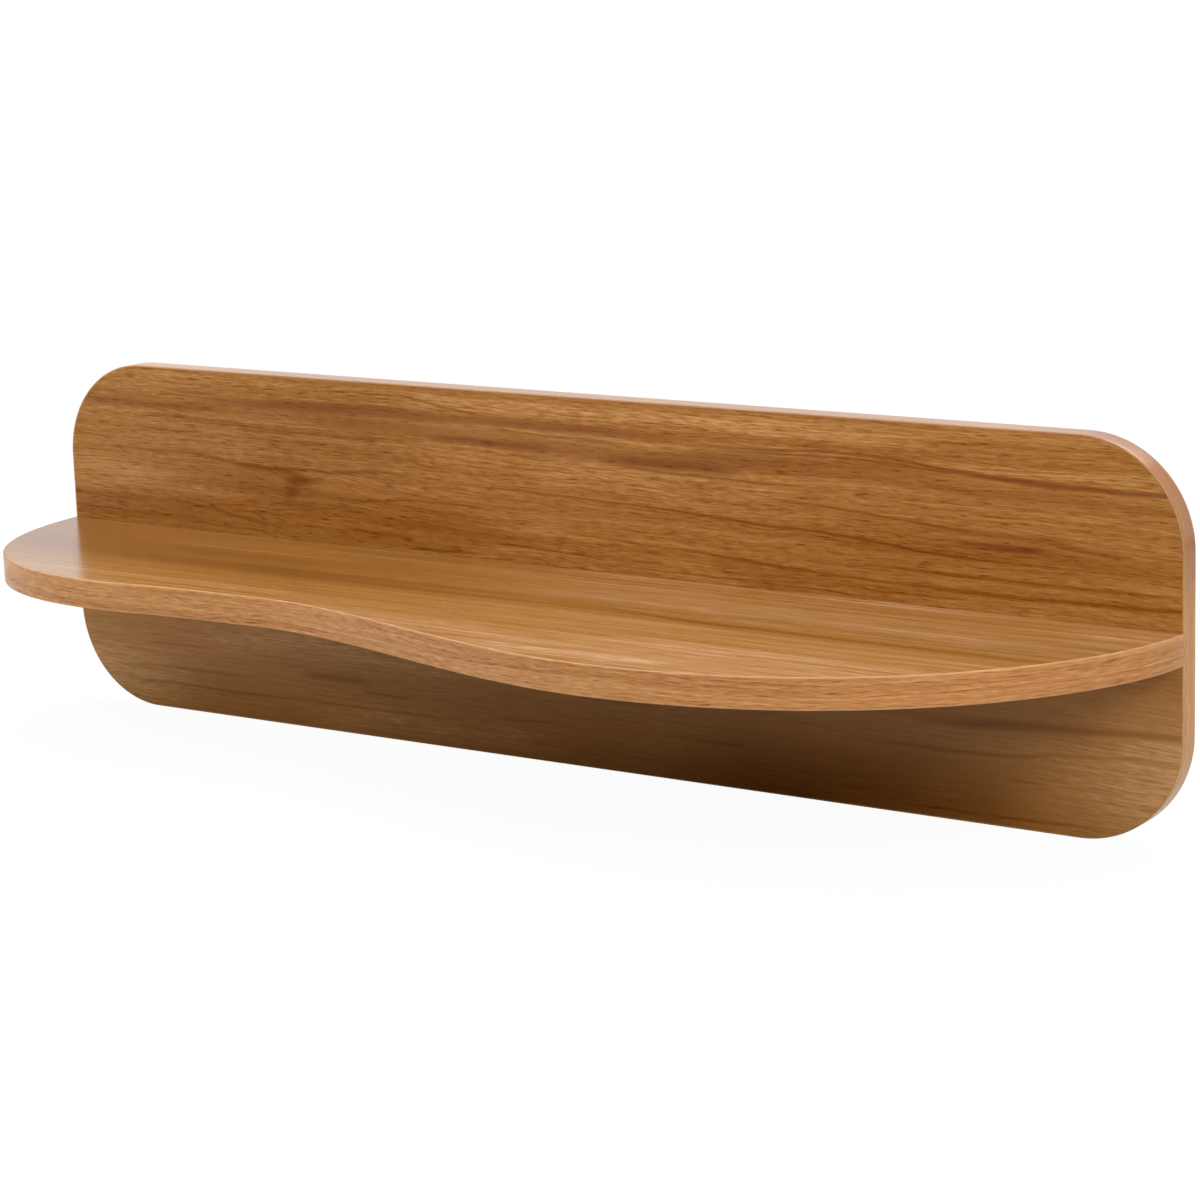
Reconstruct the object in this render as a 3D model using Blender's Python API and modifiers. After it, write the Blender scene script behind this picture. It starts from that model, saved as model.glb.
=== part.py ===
"""Wall shelf: a round-cornered back panel that carries one shelf board with a wavy front.

Both boards are a core faced with veneer on two sides and edged with a thin wooden band.
Screws from behind and blind dowels hold the shelf to the panel, and two keyhole plates
let into the panel's rear hang it on the wall.

Metres, +Z up. The origin is the middle of the rear face, which lies on the wall. The
shelf reaches out along -Y, and +X is on the right of someone who faces it.
"""
import math

import bmesh
import bpy
import numpy
from mathutils import Matrix

# Back panel
PANEL_WIDTH = 0.800
PANEL_HEIGHT = 0.228
PANEL_THICKNESS = 0.015
CORNER_RADIUS = 0.063

# Shelf board
SHELF_THICKNESS = 0.018
SHELF_UNDERSIDE = 0.105         # above the panel's lower edge

# Wavy front edge, seen from above: places along X, depths in front of the panel, and
# how far the curve holds its direction on each side of a crest or hollow
END_REACH = 0.066
LEFT_LOBE_X = -0.244
LEFT_LOBE_DEPTH = 0.154
LEFT_LOBE_OUTER_REACH = 0.126
LEFT_LOBE_INNER_REACH = 0.036
WAIST_X = -0.122
WAIST_DEPTH = 0.148
WAIST_LEFT_REACH = 0.100
WAIST_RIGHT_REACH = 0.076
RIGHT_LOBE_X = 0.142
RIGHT_LOBE_DEPTH = 0.203
RIGHT_LOBE_INNER_REACH = 0.088
RIGHT_LOBE_OUTER_REACH = 0.180

# Facing of both boards
VENEER = 0.0006
EDGE_BAND = 0.0010
ARRIS_RADIUS = 0.0007

# Screws that hold the shelf, driven from behind
SHELF_SCREW_COUNT = 4
SHELF_SCREW_END = 0.100         # outermost screw from the panel's end
SHELF_SCREW_LENGTH = 0.050
SHELF_SCREW_DIAMETER = 0.005
SHELF_SCREW_HEAD = 0.0100
SHELF_SCREW_TIP = 0.006
SHELF_SCREW_RECESS = 0.0046     # across the cross recess
SHELF_SCREW_RECESS_SLOT = 0.0011
WING_TAPER = 0.7                # a recess wing's width at its end, against its root

# Fluted dowels between the boards
DOWEL_COUNT = 4
DOWEL_END = 0.036               # outermost dowel from the panel's end
DOWEL_LENGTH = 0.030
DOWEL_DIAMETER = 0.008
DOWEL_FLUTE = 0.00025
DOWEL_CHAMFER = 0.0008
DOWEL_REAR_COVER = 0.005        # board left behind a dowel's blind hole

# Keyhole hanger plates
HANGER_END = 0.100              # plate's middle from the panel's end
HANGER_TOP = 0.046              # plate's middle below the panel's top edge
HANGER_THICKNESS = 0.0018
HANGER_RIM = 0.003              # metal beside the keyhole's mouth
HANGER_SCREW_SPACING = 0.039
HANGER_TAIL = 0.005             # metal beyond a screw's axis
KEYHOLE_MOUTH = 0.010
KEYHOLE_SLOT = 0.0052
KEYHOLE_TRAVEL = 0.011          # from the mouth's middle up to the slot's end
KEYHOLE_ROOM = 0.001            # space beside the wall screw's head
KEYHOLE_FRONT_COVER = 0.005     # board left in front of the head's space

# Screws that hold the hanger plates
HANGER_SCREW_DIAMETER = 0.003
HANGER_SCREW_HEAD = 0.0058
HANGER_SCREW_TIP = 0.003
HANGER_SCREW_RECESS = 0.0028
HANGER_SCREW_RECESS_SLOT = 0.0007
HANGER_SCREW_COVER = 0.003      # board left in front of a screw's tip

# Every screw's point, as a share of its shank's width
POINT_SHARE = 0.25

# Fits
GAP = 0.0003                    # glue line or clearance between pieces that meet
REAR_SINK = 0.0005              # metal stays this far below the rear face

# Fineness of curves
WAVE_STEP = 0.012
CORNER_STEPS = 18
ROUND_STEPS = 24
ARRIS_STEPS = 2
WELD = 0.000001                 # points closer than this are one point
SHARP_ANGLE = math.radians(30)  # faces that meet at more than this stay crisp

PANEL_FRONT = -PANEL_THICKNESS
SHELF_MIDDLE = SHELF_UNDERSIDE + SHELF_THICKNESS / 2 - PANEL_HEIGHT / 2
FACING = VENEER + GAP
EDGING = EDGE_BAND + GAP
HANGER_BACK = -REAR_SINK - HANGER_THICKNESS
HANGER_Z = PANEL_HEIGHT / 2 - HANGER_TOP
OVERCUT = 0.002                 # how far a cutter runs past the face that it opens

UPRIGHT = Matrix.Rotation(math.pi / 2, 4, "X")      # a flat outline's Y becomes world Z
FROM_WALL = Matrix.Rotation(-math.pi / 2, 4, "X")   # a turned shape's Z becomes world Y

# sRGB colour, roughness and metallic of each finish
FINISHES = {
    "walnut_veneer": ((0.68, 0.47, 0.28), 0.38, 0.0),
    "walnut_edge_band": ((0.74, 0.54, 0.37), 0.42, 0.0),
    "fibreboard_core": ((0.62, 0.50, 0.36), 0.80, 0.0),
    "beech_dowel": ((0.82, 0.67, 0.48), 0.65, 0.0),
    "zinc_plated_steel": ((0.75, 0.76, 0.78), 0.35, 1.0),
}


def linear(channel):
    """Turn one sRGB channel into the linear value that a shader reads."""
    return channel / 12.92 if channel <= 0.04045 else ((channel + 0.055) / 1.055) ** 2.4


def make_finishes():
    """Make one Principled material for each finish."""
    made = {}
    for name, (colour, roughness, metallic) in FINISHES.items():
        material = bpy.data.materials.new(name)
        material.use_nodes = True
        shader = material.node_tree.nodes["Principled BSDF"]
        shader.inputs["Base Color"].default_value = [linear(c) for c in colour] + [1.0]
        shader.inputs["Roughness"].default_value = roughness
        shader.inputs["Metallic"].default_value = metallic
        made[name] = material
    return made


def new_collection(name):
    """Add a collection to the scene."""
    collection = bpy.data.collections.new(name)
    bpy.context.scene.collection.children.link(collection)
    return collection


def arc(centre, radius, start, end, steps):
    """Points of an arc, both ends included, with its angles in radians."""
    angles = numpy.linspace(start, end, steps + 1)
    ring = numpy.column_stack((numpy.cos(angles), numpy.sin(angles)))
    return numpy.asarray(centre) + radius * ring


def stadium(width, spread):
    """An upright slot outline: two half circles whose centres are spread apart."""
    half = ROUND_STEPS // 2
    top = arc((0, spread / 2), width / 2, 0, math.pi, half)
    bottom = arc((0, -spread / 2), width / 2, math.pi, 2 * math.pi, half)
    return numpy.vstack((top, bottom))


def keyhole(mouth, slot, travel):
    """A round mouth with a narrower slot that rises out of it to a round end."""
    join = math.acos(slot / mouth)
    end = arc((0, travel / 2), slot / 2, 0, math.pi, ROUND_STEPS // 2)
    hole = arc((0, -travel / 2), mouth / 2, math.pi - join, 2 * math.pi + join, ROUND_STEPS)
    return numpy.vstack((end, hole))


def cross_outline(across, slot):
    """The outline of a cross recess, anticlockwise, whose four wings taper outwards."""
    a = across / 2
    s = slot / 2
    arm = numpy.array([(a, -s * WING_TAPER), (a, s * WING_TAPER), (s, s)])
    quarter_turn = numpy.array([(0, 1), (-1, 0)])
    arms = [arm]
    for _ in range(3):
        arms.append(arms[-1] @ quarter_turn)
    return numpy.vstack(arms)


def panel_outline(inset):
    """The panel's round-cornered outline, moved inwards by inset, anticlockwise.

    It starts where the lower edge meets the right lower corner.
    """
    radius = min(CORNER_RADIUS, PANEL_HEIGHT / 2)
    x = PANEL_WIDTH / 2 - radius
    z = PANEL_HEIGHT / 2 - radius
    r = radius - inset
    corners = [((x, -z), -0.5), ((x, z), 0.0), ((-x, z), 0.5), ((-x, -z), 1.0)]
    return numpy.vstack([
        arc(centre, r, turn * math.pi, (turn + 0.5) * math.pi, CORNER_STEPS)
        for centre, turn in corners
    ])


def wave(inset):
    """The shelf's front edge from left to right, as (x, y), moved inwards by inset.

    Four cubic curves join the two ends, the two lobes and the waist. They run along X at
    each lobe and at the waist, and square to the panel at both ends.
    """
    end = PANEL_WIDTH / 2
    stops = [
        ((-end, GAP), (0, END_REACH), (0, END_REACH)),
        ((LEFT_LOBE_X, LEFT_LOBE_DEPTH), (LEFT_LOBE_OUTER_REACH, 0), (LEFT_LOBE_INNER_REACH, 0)),
        ((WAIST_X, WAIST_DEPTH), (WAIST_LEFT_REACH, 0), (WAIST_RIGHT_REACH, 0)),
        ((RIGHT_LOBE_X, RIGHT_LOBE_DEPTH), (RIGHT_LOBE_INNER_REACH, 0), (RIGHT_LOBE_OUTER_REACH, 0)),
        ((end, GAP), (0, -END_REACH), (0, -END_REACH)),
    ]
    points = []
    for (start, _, out_reach), (stop, in_reach, _) in zip(stops, stops[1:]):
        a, d = numpy.array(start), numpy.array(stop)
        b, c = a + numpy.array(out_reach), d - numpy.array(in_reach)
        steps = max(6, round(numpy.linalg.norm(d - a) / WAVE_STEP))
        t = numpy.linspace(0, 1, steps + 1)[:, None]
        u = 1 - t
        place = u**3 * a + 3 * u**2 * t * b + 3 * u * t**2 * c + t**3 * d
        heading = u**2 * (b - a) + 2 * u * t * (c - b) + t**2 * (d - c)
        heading /= numpy.linalg.norm(heading, axis=1, keepdims=True)
        inward = numpy.column_stack((heading[:, 1], -heading[:, 0]))
        stretch = place + inset * inward
        points.append(stretch[:-1])
    line = numpy.vstack(points + [stretch[-1:]])
    return numpy.column_stack((line[:, 0], PANEL_FRONT - line[:, 1]))


class Workshop:
    """Holds the collections and finishes, and makes the pieces and the cutters."""

    def __init__(self):
        self.parts = new_collection("wall_shelf")
        self.cutters = new_collection("wall_shelf_cutters")
        self.finishes = make_finishes()
        self.root = bpy.data.objects.new("wall_shelf_frame", None)
        self.parts.objects.link(self.root)

    def add(self, name, mesh, place, finish):
        """Put a mesh in the scene as a piece with a finish."""
        piece = bpy.data.objects.new(name, mesh)
        piece.matrix_world = place
        mesh.materials.append(self.finishes[finish])
        self.parts.objects.link(piece)
        piece.parent = self.root
        return piece

    def add_cutter(self, name, mesh, place):
        """Put a mesh in the scene as a cutter, which isn't a piece."""
        cutter = bpy.data.objects.new(name, mesh)
        cutter.matrix_world = place
        cutter.hide_render = True
        cutter.display_type = "WIRE"
        self.cutters.objects.link(cutter)
        return cutter


def mesh_of(curve_data, name):
    """Turn curve data into a closed mesh whose caps are welded to its sides."""
    carrier = bpy.data.objects.new(name, curve_data)
    bpy.context.scene.collection.objects.link(carrier)
    evaluated = carrier.evaluated_get(bpy.context.evaluated_depsgraph_get())
    mesh = bpy.data.meshes.new_from_object(evaluated)
    mesh.name = name
    bpy.data.objects.remove(carrier)
    body = bmesh.new()
    body.from_mesh(mesh)
    bmesh.ops.remove_doubles(body, verts=body.verts, dist=WELD)
    bmesh.ops.recalc_face_normals(body, faces=body.faces)
    body.to_mesh(mesh)
    body.free()
    return mesh


def add_line(curve_data, line, closed):
    """Add a line of (x, y) points to a curve."""
    spline = curve_data.splines.new("POLY")
    spline.points.add(len(line) - 1)
    for point, (x, y) in zip(spline.points, line):
        point.co = (x, y, 0, 1)
    spline.use_cyclic_u = closed


def plate_mesh(name, outlines, thickness):
    """A flat plate with the first outline as its edge and the others as holes."""
    curve_data = bpy.data.curves.new(name, "CURVE")
    curve_data.dimensions = "2D"
    curve_data.fill_mode = "BOTH"
    curve_data.extrude = thickness / 2
    for outline in outlines:
        add_line(curve_data, outline, closed=True)
    return mesh_of(curve_data, name)


def band_mesh(name, line, width):
    """An edge band: a thin strip swept along a line, with its outer arrises softened.

    The line is the board's outer edge and runs anticlockwise, so the strip lies on its
    left. The two outer corners of the strip's section are quarter circles.
    """
    half = width / 2
    r = ARRIS_RADIUS
    quarter = math.pi / 2
    section = numpy.vstack((
        [(-EDGE_BAND, -half)],
        arc((-r, -half + r), r, -quarter, 0, ARRIS_STEPS),
        arc((-r, half - r), r, 0, quarter, ARRIS_STEPS),
        [(-EDGE_BAND, half)],
    ))
    section_data = bpy.data.curves.new(name + "_section", "CURVE")
    section_data.dimensions = "2D"
    section_data.fill_mode = "NONE"
    add_line(section_data, section, closed=True)
    guide = bpy.data.objects.new(name + "_section", section_data)
    bpy.context.scene.collection.objects.link(guide)
    path_data = bpy.data.curves.new(name, "CURVE")
    path_data.dimensions = "2D"
    path_data.fill_mode = "NONE"
    path_data.bevel_mode = "OBJECT"
    path_data.bevel_object = guide
    path_data.use_fill_caps = True
    add_line(path_data, line, closed=False)
    mesh = mesh_of(path_data, name)
    bpy.data.objects.remove(guide)
    return mesh


def turned_mesh(name, profile):
    """Turn a profile of (radius, height) points about Z with a Screw modifier."""
    wire = bpy.data.meshes.new(name)
    points = [(radius, 0, height) for radius, height in profile]
    wire.from_pydata(points, [(i, i + 1) for i in range(len(points) - 1)], [])
    carrier = bpy.data.objects.new(name, wire)
    bpy.context.scene.collection.objects.link(carrier)
    screw = carrier.modifiers.new("turn", "SCREW")
    screw.steps = ROUND_STEPS
    screw.render_steps = ROUND_STEPS
    screw.use_merge_vertices = True
    screw.merge_threshold = WELD
    evaluated = carrier.evaluated_get(bpy.context.evaluated_depsgraph_get())
    mesh = bpy.data.meshes.new_from_object(evaluated)
    bpy.data.objects.remove(carrier)
    mesh.name = name
    mesh.shade_smooth()
    mesh.set_sharp_from_angle(angle=SHARP_ANGLE)
    return mesh


def screw_profile(diameter, head, length, tip, room=0.0):
    """A countersunk screw from the middle of its head down to its tip.

    With room the profile is that of the hole: wider all round, and open past the head.
    """
    shank = diameter / 2
    cone = head / 2 - shank
    top = OVERCUT if room else 0.0
    return [
        (0, top),
        (head / 2 + room, top),
        (head / 2 + room, 0),
        (shank + room, -cone),
        (shank + room, tip - length),
        (shank * POINT_SHARE + room, -length - room),
        (0, -length - room),
    ]


def cut(piece, cutter):
    """Take the cutter's shape out of the piece."""
    boolean = piece.modifiers.new(cutter.name, "BOOLEAN")
    boolean.operation = "DIFFERENCE"
    boolean.solver = "EXACT"
    boolean.object = cutter


def spread_along(count, end_inset):
    """Places along X for count fasteners, evenly spaced between the two end insets."""
    reach = PANEL_WIDTH / 2 - end_inset
    return numpy.linspace(-reach, reach, count)


def make_panel(shop):
    """The back panel: core, two veneers and the band round its edge."""
    sheet = panel_outline(EDGING)
    layers = [
        ("panel_rear_veneer", -VENEER / 2, VENEER, "walnut_veneer"),
        ("panel_core", PANEL_FRONT / 2, PANEL_THICKNESS - 2 * FACING, "fibreboard_core"),
        ("panel_front_veneer", PANEL_FRONT + VENEER / 2, VENEER, "walnut_veneer"),
    ]
    pieces = {}
    for name, y, thickness, finish in layers:
        mesh = plate_mesh(name, [sheet], thickness)
        pieces[name] = shop.add(name, mesh, Matrix.Translation((0, y, 0)) @ UPRIGHT, finish)
    # The band is one strip whose two ends meet under the panel
    rim = panel_outline(0)
    foot = -PANEL_HEIGHT / 2
    line = numpy.vstack(([(GAP / 2, foot)], rim, [(-GAP / 2, foot)]))
    mesh = band_mesh("panel_edge_band", line, PANEL_THICKNESS)
    place = Matrix.Translation((0, PANEL_FRONT / 2, 0)) @ UPRIGHT
    shop.add("panel_edge_band", mesh, place, "walnut_edge_band")
    return pieces


def make_shelf(shop):
    """The shelf board: core, two veneers and the band along the wavy edge."""
    sheet = wave(EDGING)
    top = SHELF_MIDDLE + SHELF_THICKNESS / 2
    bottom = SHELF_MIDDLE - SHELF_THICKNESS / 2
    layers = [
        ("shelf_top_veneer", top - VENEER / 2, VENEER, "walnut_veneer"),
        ("shelf_core", SHELF_MIDDLE, SHELF_THICKNESS - 2 * FACING, "fibreboard_core"),
        ("shelf_bottom_veneer", bottom + VENEER / 2, VENEER, "walnut_veneer"),
    ]
    pieces = {}
    for name, z, thickness, finish in layers:
        mesh = plate_mesh(name, [sheet], thickness)
        pieces[name] = shop.add(name, mesh, Matrix.Translation((0, 0, z)), finish)
    mesh = band_mesh("shelf_edge_band", wave(0), SHELF_THICKNESS)
    place = Matrix.Translation((0, 0, SHELF_MIDDLE))
    shop.add("shelf_edge_band", mesh, place, "walnut_edge_band")
    return pieces


def add_recess(shop, screw, place, across, slot, depth):
    """Cut a cross recess into a screw's head."""
    name = screw.name + "_recess"
    mesh = plate_mesh(name, [cross_outline(across, slot)], 2 * depth)
    cut(screw, shop.add_cutter(name, mesh, place))


def make_shelf_screws(shop, bored):
    """Countersunk screws through the panel into the shelf's back edge."""
    size = (SHELF_SCREW_DIAMETER, SHELF_SCREW_HEAD, SHELF_SCREW_LENGTH, SHELF_SCREW_TIP)
    for number, x in enumerate(spread_along(SHELF_SCREW_COUNT, SHELF_SCREW_END), start=1):
        name = f"shelf_screw_{number}"
        place = Matrix.Translation((x, -REAR_SINK, SHELF_MIDDLE)) @ FROM_WALL
        screw = shop.add(name, turned_mesh(name, screw_profile(*size)), place, "zinc_plated_steel")
        add_recess(shop, screw, place, SHELF_SCREW_RECESS, SHELF_SCREW_RECESS_SLOT,
                   SHELF_SCREW_DIAMETER / 2)
        hole = turned_mesh(name + "_hole", screw_profile(*size, room=GAP))
        cutter = shop.add_cutter(name + "_hole", hole, place)
        for piece in bored:
            cut(piece, cutter)


def make_dowels(shop, bored):
    """Fluted dowels in blind holes, half in the panel and half in the shelf."""
    middle = -DOWEL_REAR_COVER - DOWEL_LENGTH / 2
    for number, x in enumerate(spread_along(DOWEL_COUNT, DOWEL_END), start=1):
        name = f"shelf_dowel_{number}"
        place = Matrix.Translation((x, middle, SHELF_MIDDLE)) @ FROM_WALL
        shop.add(name, dowel_mesh(name), place, "beech_dowel")
        radius = DOWEL_DIAMETER / 2 + GAP
        reach = DOWEL_LENGTH / 2 + GAP
        profile = [(0, reach), (radius, reach), (radius, -reach), (0, -reach)]
        cutter = shop.add_cutter(name + "_hole", turned_mesh(name + "_hole", profile), place)
        for piece in bored:
            cut(piece, cutter)


def dowel_mesh(name):
    """A rod with chamfered ends, whose every second corner is pressed in as a flute."""
    body = bmesh.new()
    radius = DOWEL_DIAMETER / 2
    bmesh.ops.create_cone(
        body, cap_ends=True, segments=ROUND_STEPS, radius1=radius, radius2=radius, depth=DOWEL_LENGTH,
    )
    rims = [edge for edge in body.edges if abs(edge.verts[0].co.z - edge.verts[1].co.z) < GAP]
    bmesh.ops.bevel(body, geom=rims, offset=DOWEL_CHAMFER, segments=1, affect="EDGES")
    for vertex in body.verts:
        corner = round(math.atan2(vertex.co.y, vertex.co.x) / (2 * math.pi / ROUND_STEPS))
        if corner % 2:
            vertex.co.xy *= 1 - DOWEL_FLUTE / radius
    mesh = bpy.data.meshes.new(name)
    body.to_mesh(mesh)
    body.free()
    return mesh


def make_hangers(shop, bored):
    """Keyhole plates let into the rear, the space behind them, and their screws."""
    width = KEYHOLE_MOUTH + 2 * HANGER_RIM
    spread = HANGER_SCREW_SPACING + 2 * HANGER_TAIL - width
    recess_depth = REAR_SINK + HANGER_THICKNESS + GAP
    space_depth = PANEL_THICKNESS - KEYHOLE_FRONT_COVER
    length = PANEL_THICKNESS - HANGER_SCREW_COVER - REAR_SINK
    size = (HANGER_SCREW_DIAMETER, HANGER_SCREW_HEAD, length, HANGER_SCREW_TIP)
    for side, x in zip(("left", "right"), spread_along(2, HANGER_END)):
        plate_name = f"hanger_plate_{side}"
        outlines = [stadium(width, spread), keyhole(KEYHOLE_MOUTH, KEYHOLE_SLOT, KEYHOLE_TRAVEL)]
        place = Matrix.Translation((x, HANGER_BACK + HANGER_THICKNESS / 2, HANGER_Z)) @ UPRIGHT
        mesh = plate_mesh(plate_name, outlines, HANGER_THICKNESS)
        plate = shop.add(plate_name, mesh, place, "zinc_plated_steel")
        pockets = [
            (f"hanger_recess_{side}", stadium(width + 2 * GAP, spread), recess_depth),
            (f"keyhole_space_{side}",
             stadium(KEYHOLE_MOUTH + 2 * KEYHOLE_ROOM, KEYHOLE_TRAVEL), space_depth),
        ]
        for name, outline, depth in pockets:
            mesh = plate_mesh(name, [outline], depth + OVERCUT)
            middle = (OVERCUT - depth) / 2
            at = Matrix.Translation((x, middle, HANGER_Z)) @ UPRIGHT
            cutter = shop.add_cutter(name, mesh, at)
            for piece in bored:
                cut(piece, cutter)
        for level, sign in (("upper", 1), ("lower", -1)):
            name = f"hanger_screw_{side}_{level}"
            z = HANGER_Z + sign * HANGER_SCREW_SPACING / 2
            at = Matrix.Translation((x, -REAR_SINK, z)) @ FROM_WALL
            screw = shop.add(name, turned_mesh(name, screw_profile(*size)), at, "zinc_plated_steel")
            add_recess(shop, screw, at, HANGER_SCREW_RECESS, HANGER_SCREW_RECESS_SLOT,
                       HANGER_SCREW_DIAMETER / 2)
            hole = turned_mesh(name + "_hole", screw_profile(*size, room=GAP))
            cutter = shop.add_cutter(name + "_hole", hole, at)
            cut(plate, cutter)
            cut(bored[-1], cutter)


def main():
    """Build the whole wall shelf in an empty scene."""
    for old in list(bpy.data.objects):
        bpy.data.objects.remove(old)
    shop = Workshop()
    panel = make_panel(shop)
    shelf = make_shelf(shop)
    through = [panel["panel_rear_veneer"], panel["panel_core"], panel["panel_front_veneer"]]
    make_shelf_screws(shop, through + [shelf["shelf_core"]])
    make_dowels(shop, through[1:] + [shelf["shelf_core"]])
    make_hangers(shop, through[:2])


main()
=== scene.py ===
# %% [markdown]
# # A wall shelf with a wavy front edge
#
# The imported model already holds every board, screw and hanger at its true size. This
# lesson dresses it for a picture: the faces and edges that show are remade with fine,
# smooth surfaces, and each one gets the finish that the real shelf has. All lengths are
# in metres. The origin is the middle of the rear face, +X runs along the shelf to the
# right, the shelf reaches out along -Y, and +Z is up.

import math

import bpy
import numpy
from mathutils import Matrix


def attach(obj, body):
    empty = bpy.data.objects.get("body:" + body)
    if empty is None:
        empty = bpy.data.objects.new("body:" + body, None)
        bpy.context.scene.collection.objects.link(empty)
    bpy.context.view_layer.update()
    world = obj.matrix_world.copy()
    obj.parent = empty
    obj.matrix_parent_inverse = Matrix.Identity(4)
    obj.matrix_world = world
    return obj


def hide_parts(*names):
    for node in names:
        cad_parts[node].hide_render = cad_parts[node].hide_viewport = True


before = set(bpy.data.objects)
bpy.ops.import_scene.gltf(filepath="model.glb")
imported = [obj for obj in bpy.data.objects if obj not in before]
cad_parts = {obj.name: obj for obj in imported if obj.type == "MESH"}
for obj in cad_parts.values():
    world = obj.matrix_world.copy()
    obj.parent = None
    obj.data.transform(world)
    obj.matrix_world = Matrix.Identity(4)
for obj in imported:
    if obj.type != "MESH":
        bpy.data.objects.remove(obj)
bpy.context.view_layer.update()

# %% [markdown]
# ## Sizes
#
# A shelf like this is drawn from a handful of sizes, and the wavy edge is a chain of
# smooth curves between a few crests and hollows. The same sizes drive the solid model,
# so they are written again here, and everything below is worked out from them.

# %% Sizes of the two boards
PANEL_WIDTH = 0.800
PANEL_HEIGHT = 0.228
PANEL_THICKNESS = 0.015
CORNER_RADIUS = 0.063
SHELF_THICKNESS = 0.018
SHELF_MIDDLE = 0.0              # height of the shelf's middle plane
VENEER = 0.0006
EDGE_BAND = 0.0010
ARRIS_RADIUS = 0.0007
GLUE_LINE = 0.00005             # hairline between a face veneer and the band beside it
GAP = 0.0003                    # the shelf stands this far off the panel's face
PANEL_FRONT = -PANEL_THICKNESS
SHELF_TOP = SHELF_MIDDLE + SHELF_THICKNESS / 2
SHELF_UNDERSIDE = SHELF_MIDDLE - SHELF_THICKNESS / 2
print("panel:", PANEL_WIDTH, "x", PANEL_HEIGHT, "x", PANEL_THICKNESS)
print("shelf: underside at", SHELF_UNDERSIDE, "and top at", SHELF_TOP)

# %% Crests and hollows of the wavy edge
# Each row: place along X, depth in front of the panel, then how far the curve holds its
# direction before and after that point. The ends leave the panel at a right angle.
END_REACH = 0.066
WAVE = [
    ("left end", -0.400, GAP, (0.0, END_REACH), (0.0, END_REACH)),
    ("left lobe", -0.244, 0.154, (0.126, 0.0), (0.036, 0.0)),
    ("waist", -0.122, 0.148, (0.100, 0.0), (0.076, 0.0)),
    ("right lobe", 0.142, 0.203, (0.088, 0.0), (0.180, 0.0)),
    ("right end", 0.400, GAP, (0.0, -END_REACH), (0.0, -END_REACH)),
]
print("the wave runs by way of:", ", ".join(row[0] for row in WAVE))

# %% [markdown]
# ## The two outlines
#
# Every edge follows one of two outlines: the panel's rounded rectangle and the shelf's
# wave. Each is worked out once as a list of points with the direction that points into
# the board at each of them, so that a veneer, which stops short of the edge, and a band,
# which runs along it, both come from the same line.

# %% The outlines as points and inward directions
WAVE_STEPS = 160                # points on each stretch of the wave
CORNER_STEPS = 48               # points on each rounded corner


def wave_outline():
    """Points (x, depth) of the wavy edge from left to right, and the inward directions.

    Each stretch is a cubic curve: start, start plus its reach, end minus its reach, end,
    mixed by the weights (1-t)^3, 3(1-t)^2 t, 3(1-t) t^2 and t^3. The direction along the
    edge is that formula's slope, and a quarter turn of it points into the board.
    """
    places = numpy.array([row[1:3] for row in WAVE])
    before = numpy.array([row[3] for row in WAVE])
    after = numpy.array([row[4] for row in WAVE])
    a, d = places[:-1, None], places[1:, None]
    b, c = a + after[:-1, None], d - before[1:, None]
    t = numpy.linspace(0, 1, WAVE_STEPS, endpoint=False)[None, :, None]
    points = (1 - t) ** 3 * a + 3 * (1 - t) ** 2 * t * b + 3 * (1 - t) * t ** 2 * c + t ** 3 * d
    slopes = (1 - t) ** 2 * (b - a) + 2 * (1 - t) * t * (c - b) + t ** 2 * (d - c)
    points = numpy.vstack([points.reshape(-1, 2), places[-1:]])
    slopes = numpy.vstack([slopes.reshape(-1, 2), after[-1:]])
    slopes = slopes / numpy.linalg.norm(slopes, axis=1, keepdims=True)
    return points, numpy.column_stack([slopes[:, 1], -slopes[:, 0]])


def panel_outline():
    """Points (x, z) round the panel from the middle of its lower edge, and back there.

    A corner's points are its centre plus the radius along an angle, and the inward
    direction is that angle turned round. The straight sides join the corners.
    """
    x, z = PANEL_WIDTH / 2 - CORNER_RADIUS, PANEL_HEIGHT / 2 - CORNER_RADIUS
    centres = numpy.array([(x, -z), (x, z), (-x, z), (-x, -z)])
    turn = numpy.linspace(0, math.pi / 2, CORNER_STEPS + 1)
    angles = turn[None, :] + numpy.array([-0.5, 0.0, 0.5, 1.0])[:, None] * math.pi
    outward = numpy.stack([numpy.cos(angles), numpy.sin(angles)], axis=-1)
    points = (centres[:, None] + CORNER_RADIUS * outward).reshape(-1, 2)
    middle = numpy.array([[0.0, -PANEL_HEIGHT / 2]])
    up = numpy.array([[0.0, 1.0]])
    points = numpy.vstack([middle, points, middle])
    return points, numpy.vstack([up, -outward.reshape(-1, 2), up])


wave, wave_inward = wave_outline()
rim, rim_inward = panel_outline()
print("wave:", len(wave), "points, deepest", round(float(wave[:, 1].max()), 4))
print("panel:", len(rim), "points round the rim")

# %% [markdown]
# ## From a section to a piece
#
# Veneers and edge bands are both one closed section carried along a path, as a moulding
# is. A carpenter would cut the sheet and iron the band on. In a mesh, each place along
# the path is one ring of points, neighbouring rings are joined by quads, and the first
# and last ring are closed by quads too, so that every piece is one closed body.

# %% Carry rings of points into one closed mesh
SHARP = math.radians(30)        # faces that meet at more than this stay crisp


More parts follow.
